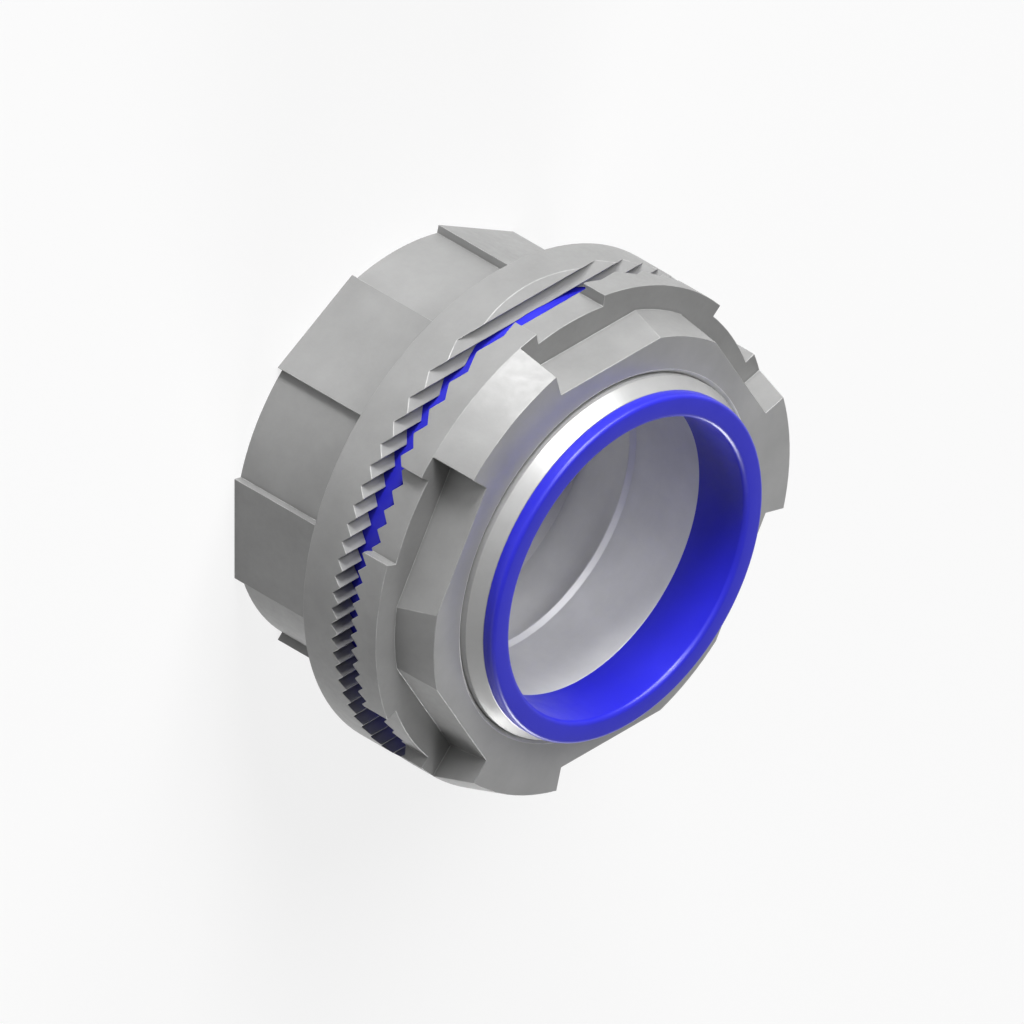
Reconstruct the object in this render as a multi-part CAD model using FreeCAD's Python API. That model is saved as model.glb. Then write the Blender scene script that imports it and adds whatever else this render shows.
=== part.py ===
import FreeCAD, Part
import math
import os

# Insulated conduit hub for the 2 inch trade size, standing on its conduit end.
# +Z runs along the bore towards the insulated throat, and z = 0 is the conduit end.
# Lengths are in millimetres and angles in degrees.

# Pipe size, which both threads share
pipe_radius = 30.16       # outside of the pipe
thread_draw = 0.36        # the conduit bore is this much under the pipe, because its thread tapers
thread_clearance = 0.05   # between the nipple and the locknut

# Wrench barrel, which takes the conduit
barrel_length = 22.0      # conduit end to flange
barrel_wall = 4.4
pad_count = 6
pad_half_angle = 15.0     # each wrench pad spans this much to both sides of its middle
pad_rise = 0.15           # middle of a pad above the round barrel
entry_chamfer = 1.2       # at the mouth of the conduit bore

# Conduit stop, an inward lip that the conduit ends against
stop_web = 2.6            # metal between the stop's shoulder and the roots of the teeth
stop_step = 0.7           # lip inside the throat, with a 45 degree lead towards the throat
stop_land = 0.3           # straight edge of the lip

# Flange and clamping teeth: straight parallel V ridges across a ring
flange_web = 5.9          # back of the flange to the roots of the teeth
tooth_pitch = 2.78
tooth_depth = 1.39
tooth_ring = 4.05         # width of the toothed ring
ring_recess = 0.5         # the faces inside both toothed rings lie this much below the roots

# Sealing ring round the nipple
seal_width = 7.24
seal_clearance = 0.1      # to the nipple and to the toothed ring
seal_proud = 2.5          # above the tips of the hub's teeth, not yet squeezed
seal_round = 0.5          # front edges of the ring

# Nipple and the throat's insulator
nipple_length = 17.25     # roots of the teeth to the start of the lead cone
lead_length = 2.4
lead_drop = 1.31          # how much the lead cone narrows the nipple
nipple_wall = 3.5         # metal outside the insulator
liner_wall = 1.5
liner_clearance = 0.05
liner_length = 7.85       # sleeve inside the nipple
lip_height = 2.21         # lip in front of the nipple
lip_outer_round = 0.7
lip_inner_round = 0.9

# Locknut: a toothed plate with notches, and a hexagon with three driving lobes
wall_gap = 2.83           # tips of the hub's teeth to tips of the nut's, where the box wall goes
nut_web = 3.96            # roots of the nut's teeth to the front of its plate
boss_height = 7.17
nut_wall = 4.19           # bore to the middle of a flat, at the front
hexagon_draft = 4.8
corner_trim = 3.31        # taken off the front of the three hexagon corners that carry no lobe
corner_draft = 9.4        # of these turned corners
lobe_half_angle = 15.0
lobe_draft = 16.4
lobe_angles = (60.0, 180.0, 300.0)
notch_depth = 1.95
notch_half_angle = 10.0
nut_countersink = 0.7     # at both ends of the nut's bore

# Cutting tools run past the metal by this much
over = 1.0

# Radii, from the pipe outwards and inwards
bore_radius = pipe_radius - thread_draw
barrel_radius = bore_radius + barrel_wall
nut_bore_radius = pipe_radius + thread_clearance
recess_radius = pipe_radius + seal_width + 2 * seal_clearance
flange_radius = recess_radius + tooth_ring
seat_radius = pipe_radius - nipple_wall
sleeve_radius = seat_radius - liner_clearance
throat_radius = sleeve_radius - liner_wall
stop_radius = throat_radius - stop_step
lip_radius = pipe_radius - lead_drop
notch_radius = flange_radius - notch_depth

# Heights of the hub
root_height = barrel_length + flange_web
tip_height = root_height + tooth_depth
recess_height = root_height - ring_recess
stop_height = root_height - stop_web
throat_height = stop_height + stop_land + stop_step
lead_height = root_height + nipple_length
nipple_height = lead_height + lead_length
sleeve_height = nipple_height - liner_length
lip_top = nipple_height + lip_height
seal_top = tip_height + seal_proud

# Heights of the locknut
nut_tip_height = tip_height + wall_gap
nut_root_height = nut_tip_height + tooth_depth
nut_recess_height = nut_root_height + ring_recess
boss_base = nut_root_height + nut_web
nut_front = boss_base + boss_height

bore_axis = FreeCAD.Vector(0, 0, 1)
axis_foot = FreeCAD.Vector(0, 0, 0)


def on_circle(radius, angle, height):
    turn = math.radians(angle)
    return FreeCAD.Vector(radius * math.cos(turn), radius * math.sin(turn), height)


def turned(outline):
    """Turn an outline of (radius, height) corners round the bore's axis."""
    corners = [FreeCAD.Vector(radius, 0, height) for radius, height in outline]
    face = Part.Face(Part.makePolygon(corners + corners[:1]))
    return face.revolve(axis_foot, bore_axis, 360)


def quarter_round(size, radius, height, start):
    """Corners of a quarter round about a (radius, height) middle, counterclockwise from start.

    It is drawn as three straight runs, which keeps the turned surface plain.
    """
    corners = []
    for step in range(4):
        turn = math.radians(start + 30 * step)
        corners.append((radius + size * math.cos(turn), height + size * math.sin(turn)))
    return corners


def sector(radius_low, radius_high, base, height, middle, half_angle):
    """A wedge of a cylinder or a cone, to both sides of its middle angle."""
    foot = FreeCAD.Vector(0, 0, base)
    if radius_low == radius_high:
        wedge = Part.makeCylinder(radius_low, height, foot, bore_axis, 2 * half_angle)
    else:
        wedge = Part.makeCone(radius_low, radius_high, height, foot, bore_axis, 2 * half_angle)
    wedge.rotate(axis_foot, bore_axis, middle - half_angle)
    return wedge


def tooth_cutter(roots, end):
    """Everything between the toothed surface and a plane, over the toothed ring only.

    The ridges run along X. Their roots, seen from below, lie at whole pitches of Y.
    """
    reach = flange_radius + over
    ridges = math.ceil(reach / tooth_pitch)
    corners = [FreeCAD.Vector(-reach, -ridges * tooth_pitch, end)]
    for step in range(-2 * ridges, 2 * ridges + 1):
        height = roots + tooth_depth * (step % 2)
        corners.append(FreeCAD.Vector(-reach, step * tooth_pitch / 2, height))
    corners.append(FreeCAD.Vector(-reach, ridges * tooth_pitch, end))
    section = Part.Face(Part.makePolygon(corners + corners[:1]))
    ridged = section.extrude(FreeCAD.Vector(2 * reach, 0, 0))
    low = min(roots, end) - over
    tall = abs(end - roots) + tooth_depth + 2 * over
    foot = FreeCAD.Vector(0, 0, low)
    ring = Part.makeCylinder(reach, tall, foot)
    middle_of_recess = (pipe_radius + recess_radius) / 2
    return ridged.common(ring.cut(Part.makeCylinder(middle_of_recess, tall, foot)))


def barrel():
    """Round barrel with flat wrench pads, drawn as one section and extruded."""
    pad_radius = (barrel_radius + pad_rise) / math.cos(math.radians(pad_half_angle))
    spacing = 360 / pad_count
    edges = []
    for index in range(pad_count):
        start = index * spacing - pad_half_angle
        end = index * spacing + pad_half_angle
        next_start = start + spacing
        pad_start = on_circle(pad_radius, start, 0)
        pad_end = on_circle(pad_radius, end, 0)
        arc_start = on_circle(barrel_radius, end, 0)
        arc_middle = on_circle(barrel_radius, (end + next_start) / 2, 0)
        arc_end = on_circle(barrel_radius, next_start, 0)
        edges.append(Part.makeLine(pad_start, pad_end))
        edges.append(Part.makeLine(pad_end, arc_start))
        edges.append(Part.Arc(arc_start, arc_middle, arc_end).toShape())
        edges.append(Part.makeLine(arc_end, on_circle(pad_radius, next_start, 0)))
    section = Part.Face(Part.Wire(Part.__sortEdges__(edges)))
    return section.extrude(FreeCAD.Vector(0, 0, barrel_length))


def hub_inside():
    """The way through the hub: conduit bore, stop, throat and the insulator's seat."""
    return turned([
        (0, -over),
        (bore_radius + entry_chamfer + over, -over),
        (bore_radius, entry_chamfer),
        (bore_radius, stop_height),
        (stop_radius, stop_height),
        (stop_radius, stop_height + stop_land),
        (throat_radius, throat_height),
        (throat_radius, sleeve_height),
        (seat_radius, sleeve_height),
        (seat_radius, nipple_height + over),
        (0, nipple_height + over),
    ])


def hub_body():
    """One casting: wrench barrel, toothed flange and nipple."""
    flange_and_nipple = turned([
        (0, barrel_length),
        (flange_radius, barrel_length),
        (flange_radius, tip_height),
        (recess_radius, tip_height),
        (recess_radius, recess_height),
        (pipe_radius, recess_height),
        (pipe_radius, lead_height),
        (lip_radius, nipple_height),
        (0, nipple_height),
    ])
    casting = barrel().fuse(flange_and_nipple).cut(hub_inside())
    return casting.cut(tooth_cutter(root_height, tip_height + over)).removeSplitter()


def sealing_ring():
    """Soft ring that lies in the flange's recess, round the nipple."""
    inner_radius = pipe_radius + seal_clearance
    outer_radius = recess_radius - seal_clearance
    round_height = seal_top - seal_round
    outline = [(inner_radius, recess_height), (outer_radius, recess_height)]
    outline += quarter_round(seal_round, outer_radius - seal_round, round_height, 0)
    outline += quarter_round(seal_round, inner_radius + seal_round, round_height, 90)
    return turned(outline)


def insulating_throat():
    """Plastic sleeve inside the nipple, with a rounded lip over the nipple's end."""
    outer_height = lip_top - lip_outer_round
    inner_height = lip_top - lip_inner_round
    outline = [
        (throat_radius, sleeve_height),
        (sleeve_radius, sleeve_height),
        (sleeve_radius, nipple_height),
        (lip_radius, nipple_height),
    ]
    outline += quarter_round(lip_outer_round, lip_radius - lip_outer_round, outer_height, 0)
    outline += quarter_round(lip_inner_round, throat_radius + lip_inner_round, inner_height, 90)
    return turned(outline)


def nut_plate():
    """Toothed plate of the locknut, with a notch in its rim beside each flat."""
    plate = turned([
        (0, nut_recess_height),
        (recess_radius, nut_recess_height),
        (recess_radius, nut_tip_height),
        (flange_radius, nut_tip_height),
        (flange_radius, boss_base),
        (0, boss_base),
    ])
    low = nut_tip_height - over
    tall = boss_base - nut_tip_height + 2 * over
    floor = Part.makeCylinder(notch_radius, tall, FreeCAD.Vector(0, 0, low))
    for index in range(6):
        middle = 30 + index * 60
        reach = flange_radius + over
        notch = sector(reach, reach, low, tall, middle, notch_half_angle)
        plate = plate.cut(notch.cut(floor))
    return plate.cut(tooth_cutter(nut_root_height - tooth_depth, low))


def hexagon(apothem, height):
    corner = apothem / math.cos(math.radians(30))
    corners = [on_circle(corner, index * 60, height) for index in range(6)]
    return Part.makePolygon(corners + corners[:1])


def nut_boss():
    """Drafted hexagon: three corners are turned down, and a lobe covers each other one."""
    front_apothem = nut_bore_radius + nut_wall
    base_apothem = front_apothem + boss_height * math.tan(math.radians(hexagon_draft))
    front_corner = front_apothem / math.cos(math.radians(30)) - corner_trim
    base_corner = front_corner + boss_height * math.tan(math.radians(corner_draft))
    lobe_front = flange_radius - boss_height * math.tan(math.radians(lobe_draft))
    sides = [hexagon(base_apothem, boss_base), hexagon(front_apothem, nut_front)]
    foot = FreeCAD.Vector(0, 0, boss_base)
    boss = Part.makeLoft(sides, True, True)
    boss = boss.common(Part.makeCone(base_corner, front_corner, boss_height, foot))
    for middle in lobe_angles:
        lobe = sector(flange_radius, lobe_front, boss_base, boss_height, middle, lobe_half_angle)
        boss = boss.fuse(lobe)
    return boss


def locknut():
    """Locknut that turns on the nipple and clamps the box wall between the teeth."""
    mouth = nut_countersink + over
    bore = turned([
        (0, nut_recess_height - over),
        (nut_bore_radius + mouth, nut_recess_height - over),
        (nut_bore_radius, nut_recess_height + nut_countersink),
        (nut_bore_radius, nut_front - nut_countersink),
        (nut_bore_radius + mouth, nut_front + over),
        (0, nut_front + over),
    ])
    return nut_plate().fuse(nut_boss()).cut(bore).removeSplitter()


os.makedirs("parts", exist_ok=True)
pieces = {
    "hub_body": hub_body(),
    "sealing_ring": sealing_ring(),
    "insulating_throat": insulating_throat(),
    "locknut": locknut(),
}
for name, shape in pieces.items():
    shape.exportStep("parts/" + name + ".step")
    print(name, shape.ShapeType, len(shape.Solids), shape.isValid(), round(shape.Volume, 1))
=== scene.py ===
import bpy
import bmesh
import math
from mathutils import Matrix, Vector


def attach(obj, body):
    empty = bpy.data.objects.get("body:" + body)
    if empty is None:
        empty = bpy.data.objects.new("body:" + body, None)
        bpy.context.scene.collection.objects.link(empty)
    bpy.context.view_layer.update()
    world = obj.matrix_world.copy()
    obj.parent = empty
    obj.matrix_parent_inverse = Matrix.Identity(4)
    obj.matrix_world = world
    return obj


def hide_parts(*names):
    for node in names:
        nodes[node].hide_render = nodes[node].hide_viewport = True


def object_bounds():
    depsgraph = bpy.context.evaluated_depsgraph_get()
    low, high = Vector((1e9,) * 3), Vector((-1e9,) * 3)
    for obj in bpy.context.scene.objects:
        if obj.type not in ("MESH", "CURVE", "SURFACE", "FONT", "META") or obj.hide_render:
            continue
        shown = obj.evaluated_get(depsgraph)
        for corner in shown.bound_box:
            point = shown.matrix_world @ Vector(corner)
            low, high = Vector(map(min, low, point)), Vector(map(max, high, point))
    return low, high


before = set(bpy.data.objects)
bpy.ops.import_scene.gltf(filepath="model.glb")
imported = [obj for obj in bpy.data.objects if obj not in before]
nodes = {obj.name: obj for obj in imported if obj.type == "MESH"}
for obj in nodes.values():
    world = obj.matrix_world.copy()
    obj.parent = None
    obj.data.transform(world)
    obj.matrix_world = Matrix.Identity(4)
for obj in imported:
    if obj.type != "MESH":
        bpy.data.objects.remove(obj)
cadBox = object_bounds()
print("frame loaded:", sorted(nodes))

mm = 0.001
upAxis = (0, 0, 1)


# The picture is a true isometric, rolled so that the bore runs down to the right
view = {
    "right": (-1, 0, 1),
    "up": (-1, -2, -1),
    "middle": (19.74, -18.06, 44.64),    # mm, the point of the part at the middle of the picture
    "width": 154.42,                     # mm across the picture
    "distance": 600,                     # mm from that point to the camera
    "clipEnd": 40,                       # m, beyond the far edge of the floor
}


def makeCamera():
    right = Vector(view["right"]).normalized()
    up = Vector(view["up"]).normalized()
    back = right.cross(up)
    turn = Matrix((right, up, back)).transposed().to_4x4()
    place = (Vector(view["middle"]) + back * view["distance"]) * mm
    data = bpy.data.cameras.new("isometricCamera")
    data.type = "ORTHO"
    data.ortho_scale = view["width"] * mm
    data.clip_end = view["clipEnd"]
    camera = bpy.data.objects.new("isometricCamera", data)
    camera.matrix_world = Matrix.Translation(place) @ turn
    bpy.context.scene.collection.objects.link(camera)
    bpy.context.scene.camera = camera


makeCamera()
print("camera placed")


# Helpers for the materials: each adds its nodes and returns the result.
# A span is the two values of the factor that give the low and the high end.
fullSpan = (0, 1)
noiseSpan = (0.3, 0.7)    # most of a noise lies between these


def newMaterial(name):
    material = bpy.data.materials.new(name)
    material.use_nodes = True
    return material, material.node_tree, material.node_tree.nodes["Principled BSDF"]


def addCoords(tree):
    return tree.nodes.new("ShaderNodeTexCoord").outputs["Object"]


def addNoise(tree, coords, scale, detail=3, roughness=0.5):
    noise = tree.nodes.new("ShaderNodeTexNoise")
    noise.inputs["Scale"].default_value = scale
    noise.inputs["Detail"].default_value = detail
    noise.inputs["Roughness"].default_value = roughness
    tree.links.new(coords, noise.inputs["Vector"])
    return noise.outputs["Fac"]


def addRamp(tree, factor, low, high, span):
    ramp = tree.nodes.new("ShaderNodeValToRGB")
    for element, position, color in zip(ramp.color_ramp.elements, span, (low, high)):
        element.position = position
        element.color = (*color, 1)
    tree.links.new(factor, ramp.inputs["Fac"])
    return ramp.outputs["Color"]


def addRange(tree, factor, low, high, span):
    spread = tree.nodes.new("ShaderNodeMapRange")
    spread.inputs["From Min"].default_value = span[0]
    spread.inputs["From Max"].default_value = span[1]
    spread.inputs["To Min"].default_value = low
    spread.inputs["To Max"].default_value = high
    tree.links.new(factor, spread.inputs["Value"])
    return spread.outputs["Result"]


def addMath(tree, what, first, second):
    node = tree.nodes.new("ShaderNodeMath")
    node.operation = what
    for socket, value in zip(node.inputs, (first, second)):
        if isinstance(value, (int, float)):
            socket.default_value = value
        else:
            tree.links.new(value, socket)
    return node.outputs["Value"]


def addMix(tree, factor, first, second):
    mix = tree.nodes.new("ShaderNodeMix")
    mix.data_type = "RGBA"
    tree.links.new(factor, mix.inputs["Factor"])
    tree.links.new(first, mix.inputs["A"])
    mix.inputs["B"].default_value = (*second, 1)
    return mix.outputs["Result"]


def addBump(tree, height, depth, under=None):
    bump = tree.nodes.new("ShaderNodeBump")
    bump.inputs["Strength"].default_value = 1
    bump.inputs["Distance"].default_value = depth
    tree.links.new(height, bump.inputs["Height"])
    if under:
        tree.links.new(under, bump.inputs["Normal"])
    return bump.outputs["Normal"]


def linkSurface(tree, shader, color, roughness, normal):
    tree.links.new(color, shader.inputs["Base Color"])
    tree.links.new(roughness, shader.inputs["Roughness"])
    tree.links.new(normal, shader.inputs["Normal"])


# Wear: bright where a patchy noise crosses the eased edges. Painted shade: darker in the corners,
# where ambient occlusion finds them closed in
edgeLayer = "easedEdge"
cornerSamples = 8
cornerSpan = (0.35, 0.9)    # the openness of a corner that gets the full painted shade, and of one that is clear


def addRubbedEdges(tree, coords, color, look):
    edges = tree.nodes.new("ShaderNodeAttribute")
    edges.attribute_name = edgeLayer
    patches = addNoise(tree, coords, look["rubScale"])
    patches = addRange(tree, patches, 0, look["rubShare"], look["rubSpan"])
    rubbed = addMath(tree, "MULTIPLY", edges.outputs["Fac"], patches)
    return addMix(tree, rubbed, color, look["rubbed"])


# Painted shade: the colour is pulled towards the corner colour where ambient occlusion finds the
# surface closed in
def addPaintedCornerShade(tree, color, look):
    corners = tree.nodes.new("ShaderNodeAmbientOcclusion")
    corners.samples = cornerSamples
    corners.only_local = True
    corners.inputs["Distance"].default_value = look["cornerReach"]
    depth = addRange(tree, corners.outputs["AO"], 1, 0, cornerSpan)
    paintedShade = addMath(tree, "MULTIPLY", depth, look["cornerShare"])
    return addMix(tree, paintedShade, color, look["corner"])


# Zinc plated casting: satin grey with soft clouds, a fine grain and soft waves.
# Scales of noise are per m, here and below.
castMetal = {
    "dark": (0.252, 0.252, 0.250),
    "light": (0.296, 0.296, 0.294),
    "cloudScale": 110,
    "rubbed": (0.38, 0.38, 0.378),
    "rubScale": 420,
    "rubSpan": (0.35, 0.6),
    "rubShare": 0.8,
    # corner: the colour of the painted shade in the corners
    "corner": (0.13, 0.13, 0.129),
    "cornerReach": 1.0 * mm,
    "cornerShare": 0.6,
    "metallic": 0.3,
    "roughness": (0.43, 0.56),
    "speckleScale": 900,
    "grainScale": 2400,
    "grainDepth": 0.010 * mm,
    "waveScale": 260,
    "waveDepth": 0.035 * mm,
}


def makeCastMetal():
    look = castMetal
    material, tree, shader = newMaterial("zincPlatedCasting")
    coords = addCoords(tree)
    clouds = addNoise(tree, coords, look["cloudScale"], detail=5, roughness=0.6)
    color = addRamp(tree, clouds, look["dark"], look["light"], noiseSpan)
    color = addRubbedEdges(tree, coords, color, look)
    color = addPaintedCornerShade(tree, color, look)
    speckle = addNoise(tree, coords, look["speckleScale"], detail=4, roughness=0.6)
    roughness = addRange(tree, speckle, *look["roughness"], noiseSpan)
    waves = addBump(tree, addNoise(tree, coords, look["waveScale"], detail=2), look["waveDepth"])
    grain = addNoise(tree, coords, look["grainScale"], detail=4, roughness=0.6)
    linkSurface(tree, shader, color, roughness, addBump(tree, grain, look["grainDepth"], waves))
    shader.inputs["Metallic"].default_value = look["metallic"]
    return material


# Turned metal keeps the fine rings of the tool. The bores are duller than the outside, and painted
# paler as painted light that lifts the shade inside them.
turnedMetal = {
    "dark": (0.36, 0.36, 0.357),
    "light": (0.42, 0.42, 0.417),
    "cloudScale": 130,
    # corner: the colour of the painted shade in the corners
    "corner": (0.17, 0.17, 0.169),
    "cornerReach": 1.2 * mm,
    "cornerShare": 0.7,
    "metallic": 0.45,
    "roughness": (0.30, 0.40),
    "ringScale": 1700,
    "ringDepth": 0.005 * mm,
}
# The bore look's pale tone is painted light, which lifts the shade deep in the throat and the
# conduit bore
boreMetalPaintedLight = dict(
    turnedMetal,
    dark=(0.66, 0.66, 0.657),
    light=(0.74, 0.74, 0.737),
    # corner: the colour of the painted shade in the bore's corners
    corner=(0.36, 0.36, 0.358),
    metallic=0.3,
    roughness=(0.50, 0.60),
)


# The distance from the axis and the height, so that a noise made from them lies in rings
def addRingCoords(tree, coords):
    split = tree.nodes.new("ShaderNodeSeparateXYZ")
    tree.links.new(coords, split.inputs["Vector"])
    flat = tree.nodes.new("ShaderNodeCombineXYZ")
    tree.links.new(split.outputs["X"], flat.inputs["X"])
    tree.links.new(split.outputs["Y"], flat.inputs["Y"])
    radius = tree.nodes.new("ShaderNodeVectorMath")
    radius.operation = "LENGTH"
    tree.links.new(flat.outputs["Vector"], radius.inputs[0])
    along = tree.nodes.new("ShaderNodeCombineXYZ")
    tree.links.new(radius.outputs["Value"], along.inputs["X"])
    tree.links.new(split.outputs["Z"], along.inputs["Z"])
    return along.outputs["Vector"]


def makeTurnedMetal(name, look):
    material, tree, shader = newMaterial(name)
    coords = addCoords(tree)
    rings = addNoise(tree, addRingCoords(tree, coords), look["ringScale"], detail=3, roughness=0.7)
    clouds = addNoise(tree, coords, look["cloudScale"], detail=5, roughness=0.6)
    color = addRamp(tree, clouds, look["dark"], look["light"], noiseSpan)
    color = addPaintedCornerShade(tree, color, look)
    roughness = addRange(tree, rings, *look["roughness"], noiseSpan)
    linkSurface(tree, shader, color, roughness, addBump(tree, rings, look["ringDepth"]))
    shader.inputs["Metallic"].default_value = look["metallic"]
    return material


# Blue moulded plastic of the throat's insulator, and the softer blue of the sealing ring
bluePlastic = {
    "dark": (0.014, 0.014, 0.50),
    "light": (0.018, 0.018, 0.56),
    "roughness": (0.29, 0.38),
    "peelScale": 420,
    "peelDepth": 0.006 * mm,
}
blueRubber = {
    "dark": (0.010, 0.010, 0.42),
    "light": (0.022, 0.022, 0.58),
    "roughness": (0.42, 0.56),
    "peelScale": 1500,
    "peelDepth": 0.012 * mm,
}
blueCloudScale = 90
blueScuffScale = 480
blueIor = 1.5


def makeBlue(name, look):
    material, tree, shader = newMaterial(name)
    coords = addCoords(tree)
    clouds = addNoise(tree, coords, blueCloudScale, detail=4)
    color = addRamp(tree, clouds, look["dark"], look["light"], noiseSpan)
    scuffs = addNoise(tree, coords, blueScuffScale, detail=5, roughness=0.65)
    roughness = addRange(tree, scuffs, *look["roughness"], noiseSpan)
    peel = addNoise(tree, coords, look["peelScale"], detail=3)
    linkSurface(tree, shader, color, roughness, addBump(tree, peel, look["peelDepth"]))
    shader.inputs["IOR"].default_value = blueIor
    return material


castLook = makeCastMetal()
turnedLook = makeTurnedMetal("zincPlatedTurned", turnedMetal)
# The bore look is painted paler than the turned metal, as painted light in the shaded bores
boreLookPaintedLight = makeTurnedMetal("zincPlatedBorePaintedLight", boreMetalPaintedLight)
linerLook = makeBlue("blueMouldedPlastic", bluePlastic)
sealLook = makeBlue("blueSealRubber", blueRubber)
print("materials made")


# Helpers for the pieces. In their dictionaries lengths are in mm and angles in degrees.
mergeReach = 0.001    # mm: points of a spun piece that are closer than this are one
rimReach = 0.01       # mm: a point this close to a rim lies on it


def addPiece(bm, name, looks, body, smoothAngle):
    mesh = bpy.data.meshes.new(name)
    bm.to_mesh(mesh)
    bm.free()
    for look in looks:
        mesh.materials.append(look)
    mesh.polygons.foreach_set("use_smooth", [True] * len(mesh.polygons))
    mesh.set_sharp_from_angle(angle=math.radians(smoothAngle))
    piece = bpy.data.objects.new(name, mesh)
    bpy.context.scene.collection.objects.link(piece)
    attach(piece, body)
    return piece


def addOutline(bm, outline):
    return [bm.verts.new((radius * mm, 0, height * mm)) for radius, height in outline]


def spinOutline(outline, steps):
    bm = bmesh.new()
    corners = addOutline(bm, outline)
    sides = [bm.edges.new(ends) for ends in zip(corners, corners[1:] + corners[:1])]
    bmesh.ops.spin(bm, geom=corners + sides, cent=(0, 0, 0), axis=upAxis,
                   angle=2 * math.pi, steps=steps, use_merge=True)
    bmesh.ops.remove_doubles(bm, verts=bm.verts, dist=mergeReach * mm)
    bmesh.ops.recalc_face_normals(bm, faces=bm.faces)
    return bm


def roundEdges(bm, edges, size, steps, clamp):
    return bmesh.ops.bevel(bm, geom=edges, offset=size * mm, offset_type="OFFSET", affect="EDGES",
                           segments=steps, profile=0.5, material=-1, clamp_overlap=clamp)


def roundRim(bm, radius, height, size, steps):
    def onRim(vertex):
        aside = math.hypot(vertex.co.x, vertex.co.y) - radius * mm
        above = vertex.co.z - height * mm
        return max(abs(aside), abs(above)) < rimReach * mm
    rim = [edge for edge in bm.edges if onRim(edge.verts[0]) and onRim(edge.verts[1])]
    roundEdges(bm, rim, size, steps, True)


# The castings: merged copies of the solids, with their edges eased
casting = {
    "mergeReach": 0.002,
    "flatAngle": 0.5,          # facets that turn less than this become one face
    "sharpAngle": 10,          # edges that turn more than this are eased
    "ease": 0.10,
    "easeSteps": 2,
    "turnedRadius": 31.3,      # everything inside this is turned, not cast
    "turnedHeight": 0.05,      # and so is the face on the conduit end
    "boreFacing": -0.1,        # a turned face that leans in more than this is a bore's
    "smoothAngle": 40,
}
castingLooks = [castLook, turnedLook, boreLookPaintedLight]


def castingLook(face):
    middle = face.calc_center_median() / mm
    radius = math.hypot(middle.x, middle.y)
    if radius >= casting["turnedRadius"] and middle.z >= casting["turnedHeight"]:
        return castLook
    facing = (middle.x * face.normal.x + middle.y * face.normal.y) / radius
    return boreLookPaintedLight if facing < casting["boreFacing"] else turnedLook


def makeCasting(node, name, body):
    bm = bmesh.new()
    bm.from_mesh(nodes[node].data)
    bmesh.ops.remove_doubles(bm, verts=bm.verts, dist=casting["mergeReach"] * mm)
    bmesh.ops.dissolve_limit(bm, angle_limit=math.radians(casting["flatAngle"]),
                             verts=bm.verts, edges=bm.edges)
    easedEdge = bm.faces.layers.float.new(edgeLayer)
    sharpAngle = math.radians(casting["sharpAngle"])
    sharp = [edge for edge in bm.edges
             if edge.is_manifold and edge.calc_face_angle() > sharpAngle]
    eased = roundEdges(bm, sharp, casting["ease"], casting["easeSteps"], False)
    for face in eased["faces"]:
        face[easedEdge] = 1
    for face in bm.faces:
        face.material_index = castingLooks.index(castingLook(face))
    piece = addPiece(bm, name, castingLooks, body, casting["smoothAngle"])
    evened = piece.modifiers.new("evenShading", "WEIGHTED_NORMAL")
    evened.keep_sharp = True
    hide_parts(node)
    return piece


hubCasting = makeCasting("hub_body", "hubCasting", "hub")
nutCasting = makeCasting("locknut", "nutCasting", "locknut")
print("castings made:", len(hubCasting.data.polygons), "and", len(nutCasting.data.polygons), "faces")


# Sealing ring round the nipple, with moulded rounds on its front edges
sealRing = {
    "inner": 30.26,
    "outer": 37.5,
    "bottom": 27.4,
    "top": 31.79,
    "round": 0.5,
    "roundSteps": 5,
    "steps": 160,
    "smoothAngle": 50,
}


def makeSealRing():
    ring = sealRing
    outline = [(ring["inner"], ring["bottom"]), (ring["outer"], ring["bottom"]),
               (ring["outer"], ring["top"]), (ring["inner"], ring["top"])]
    bm = spinOutline(outline, ring["steps"])
    for radius in ring["outer"], ring["inner"]:
        roundRim(bm, radius, ring["top"], ring["round"], ring["roundSteps"])
    piece = addPiece(bm, "sealRing", [sealLook], "hub", ring["smoothAngle"])
    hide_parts("sealing_ring")


makeSealRing()
print("sealing ring made")


# Insulator of the throat: a sleeve with a lip that rolls over the nipple's end
throatLiner = {
    "inner": 25.11,
    "sleeve": 26.61,
    "lip": 28.85,
    "back": 39.7,
    "seat": 47.55,
    "front": 49.76,
    "outerRound": 0.7,
    "innerRound": 0.9,
    "frontSteps": 6,
    "seatRound": 0.12,
    "seatSteps": 2,
    "steps": 160,
    "smoothAngle": 50,
}


def makeThroatLiner():
    liner = throatLiner
    outline = [(liner["inner"], liner["back"]), (liner["sleeve"], liner["back"]),
               (liner["sleeve"], liner["seat"]), (liner["lip"], liner["seat"]),
               (liner["lip"], liner["front"]), (liner["inner"], liner["front"])]
    bm = spinOutline(outline, liner["steps"])
    roundRim(bm, liner["lip"], liner["front"], liner["outerRound"], liner["frontSteps"])
    roundRim(bm, liner["inner"], liner["front"], liner["innerRound"], liner["frontSteps"])
    roundRim(bm, liner["lip"], liner["seat"], liner["seatRound"], liner["seatSteps"])
    piece = addPiece(bm, "throatLiner", [linerLook], "hub", liner["smoothAngle"])
    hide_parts("insulating_throat")


makeThroatLiner()
print("throat liner made")


# Thread of the conduit bore: a right hand ridge that starts behind the mouth,
# and fades out before the stop
conduitThread = {
    "root": 29.86,           # just inside the wall of the bore
    "rootBand": 0.5,         # points this close to the root stay where they are
    "crest": 28.35,          # at the mouth
    "taper": 1 / 32,         # the pipe taper, on the radius
    "pitch": 2.209,
    "rootWidth": 1.95,
    "crestWidth": 0.28,
    "start": 1.7,
    "turns": 4.9,
    "fadeTurns": 0.4,
    "stepsPerTurn": 96,
    "smoothAngle": 30,
}


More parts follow.
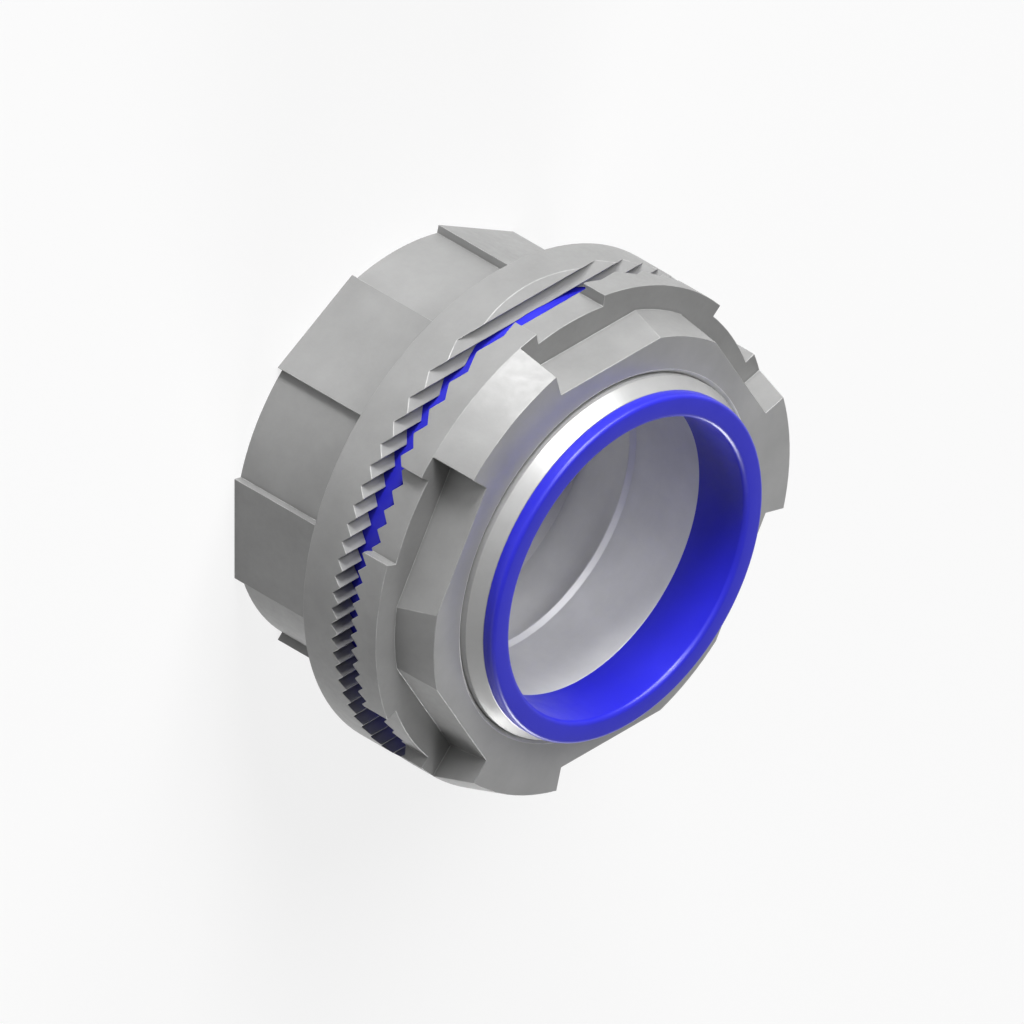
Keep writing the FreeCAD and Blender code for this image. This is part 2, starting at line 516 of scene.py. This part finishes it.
# The radius of the ridge's crest at a height: tapered, and sunk to the root at both ends
def crestRadius(height):
    thread = conduitThread
    turn = (height - thread["start"]) / thread["pitch"]
    nearestEnd = max(0, min(turn, thread["turns"] - turn))
    fade = min(1, nearestEnd / thread["fadeTurns"])
    return thread["root"] - (thread["root"] - thread["crest"] + thread["taper"] * height) * fade


def makeConduitThread():
    thread = conduitThread
    start = thread["start"]
    rootHalf = thread["rootWidth"] / 2
    crestHalf = thread["crestWidth"] / 2
    outline = [(thread["root"], start - rootHalf), (thread["crest"], start - crestHalf),
               (thread["crest"], start + crestHalf), (thread["root"], start + rootHalf)]
    bm = bmesh.new()
    bm.faces.new(addOutline(bm, outline))
    steps = int(thread["turns"] * thread["stepsPerTurn"])
    climb = thread["pitch"] / thread["stepsPerTurn"] * mm
    bmesh.ops.spin(bm, geom=bm.verts[:] + bm.edges[:] + bm.faces[:], cent=(0, 0, 0), axis=upAxis,
                   angle=2 * math.pi * thread["turns"], steps=steps, dvec=(0, 0, climb))
    for vertex in bm.verts:
        radius = math.hypot(vertex.co.x, vertex.co.y) / mm
        if radius < thread["root"] - thread["rootBand"]:
            reach = crestRadius(vertex.co.z / mm)
            vertex.co.x *= reach / radius
            vertex.co.y *= reach / radius
    bmesh.ops.recalc_face_normals(bm, faces=bm.faces)
    addPiece(bm, "conduitThread", [boreLookPaintedLight], "hub", thread["smoothAngle"])


makeConduitThread()
print("conduit thread made")


# Floor, backdrop and lamps
stageSet = {
    "floorSize": 30,                # m
    "floorColor": (0.93, 0.93, 0.93),
    "floorDim": (0.5, 0.5, 0.5),    # what the floor gives back to the object as soft light
    "floorWhite": 0.8,              # share of plain white that the camera and the reflections see
    "floorRoughness": 0.9,
    "floorSpecular": 0.1,
    "backdropColor": (1, 1, 1),
    "backdropLow": 0.96,            # the backdrop is white up to the horizon
    "backdropHigh": 0.6,            # and pale grey overhead
    "backdropRise": 0.3,            # how far up it is fully grey, where straight up is 1
    "worldColor": (1, 1, 1),
    "worldStrength": 0.05,
}


def addSeenRays(tree):
    path = tree.nodes.new("ShaderNodeLightPath").outputs
    seen = addMath(tree, "MAXIMUM", path["Is Camera Ray"], path["Is Glossy Ray"])
    return addMath(tree, "MAXIMUM", seen, path["Is Transmission Ray"])


def mixShaders(tree, factor, first, second, output):
    mix = tree.nodes.new("ShaderNodeMixShader")
    tree.links.new(factor, mix.inputs["Fac"])
    tree.links.new(first.outputs[0], mix.inputs[1])
    tree.links.new(second.outputs[0], mix.inputs[2])
    tree.links.new(mix.outputs[0], tree.nodes[output].inputs["Surface"])


def makeFloor():
    bm = bmesh.new()
    bmesh.ops.create_grid(bm, x_segments=1, y_segments=1, size=stageSet["floorSize"] / 2)
    mesh = bpy.data.meshes.new("floor")
    bm.to_mesh(mesh)
    bm.free()
    floor = bpy.data.objects.new("floor", mesh)
    bpy.context.scene.collection.objects.link(floor)
    material, tree, shader = newMaterial("paleFloor")
    seen = addSeenRays(tree)
    color = addRamp(tree, seen, stageSet["floorDim"], stageSet["floorColor"], fullSpan)
    tree.links.new(color, shader.inputs["Base Color"])
    shader.inputs["Roughness"].default_value = stageSet["floorRoughness"]
    shader.inputs["Specular IOR Level"].default_value = stageSet["floorSpecular"]
    white = tree.nodes.new("ShaderNodeEmission")
    white.inputs["Strength"].default_value = 1
    share = addMath(tree, "MULTIPLY", seen, stageSet["floorWhite"])
    mixShaders(tree, share, shader, white, "Material Output")
    mesh.materials.append(material)


# The camera and the reflections see the backdrop, and the rest of the light from around is dim
def makeWorld():
    world = bpy.data.worlds.new("studio")
    bpy.context.scene.world = world
    world.use_nodes = True
    tree = world.node_tree
    light = tree.nodes["Background"]
    light.inputs["Color"].default_value = (*stageSet["worldColor"], 1)
    light.inputs["Strength"].default_value = stageSet["worldStrength"]
    backdrop = tree.nodes.new("ShaderNodeBackground")
    backdrop.inputs["Color"].default_value = (*stageSet["backdropColor"], 1)
    split = tree.nodes.new("ShaderNodeSeparateXYZ")
    tree.links.new(addCoords(tree), split.inputs["Vector"])
    fade = addRange(tree, split.outputs["Z"], stageSet["backdropLow"], stageSet["backdropHigh"],
                    (0, stageSet["backdropRise"]))
    tree.links.new(fade, backdrop.inputs["Strength"])
    mixShaders(tree, addSeenRays(tree), light, backdrop, "World Output")


# Soft round lamps, all at one distance. Each has its direction, its size in m and its power in W.
lampDistance = 3.2    # m
lamps = {
    "lowTopLamp": {"from": (0.05, -1, 0.16), "size": 1.0, "power": 92},
    "topRightLamp": {"from": (-0.4, -1, 0.25), "size": 1.4, "power": 45},
    "topFrontLamp": {"from": (0, -0.7, 0.6), "size": 1.6, "power": 54},
    "bottomLamp": {"from": (0, 1, 0.25), "size": 1.4, "power": 84},
    "fillLamp": {"from": (0.9, -1.1, 0.8), "size": 1.4, "power": 6},
}


def addLamp(name, lamp):
    away = Vector(lamp["from"]).normalized()
    data = bpy.data.lights.new(name, "AREA")
    data.shape = "DISK"
    data.size = lamp["size"]
    data.energy = lamp["power"]
    placed = bpy.data.objects.new(name, data)
    placed.location = Vector((0, 0, cadBox[1][2] / 2)) + away * lampDistance
    placed.rotation_euler = away.to_track_quat("Z", "Y").to_euler()
    placed.visible_camera = False
    bpy.context.scene.collection.objects.link(placed)


makeFloor()
makeWorld()
for name, lamp in lamps.items():
    addLamp(name, lamp)
print("stage set")

bpy.context.scene.view_settings.view_transform = "Standard"
bpy.context.view_layer.update()
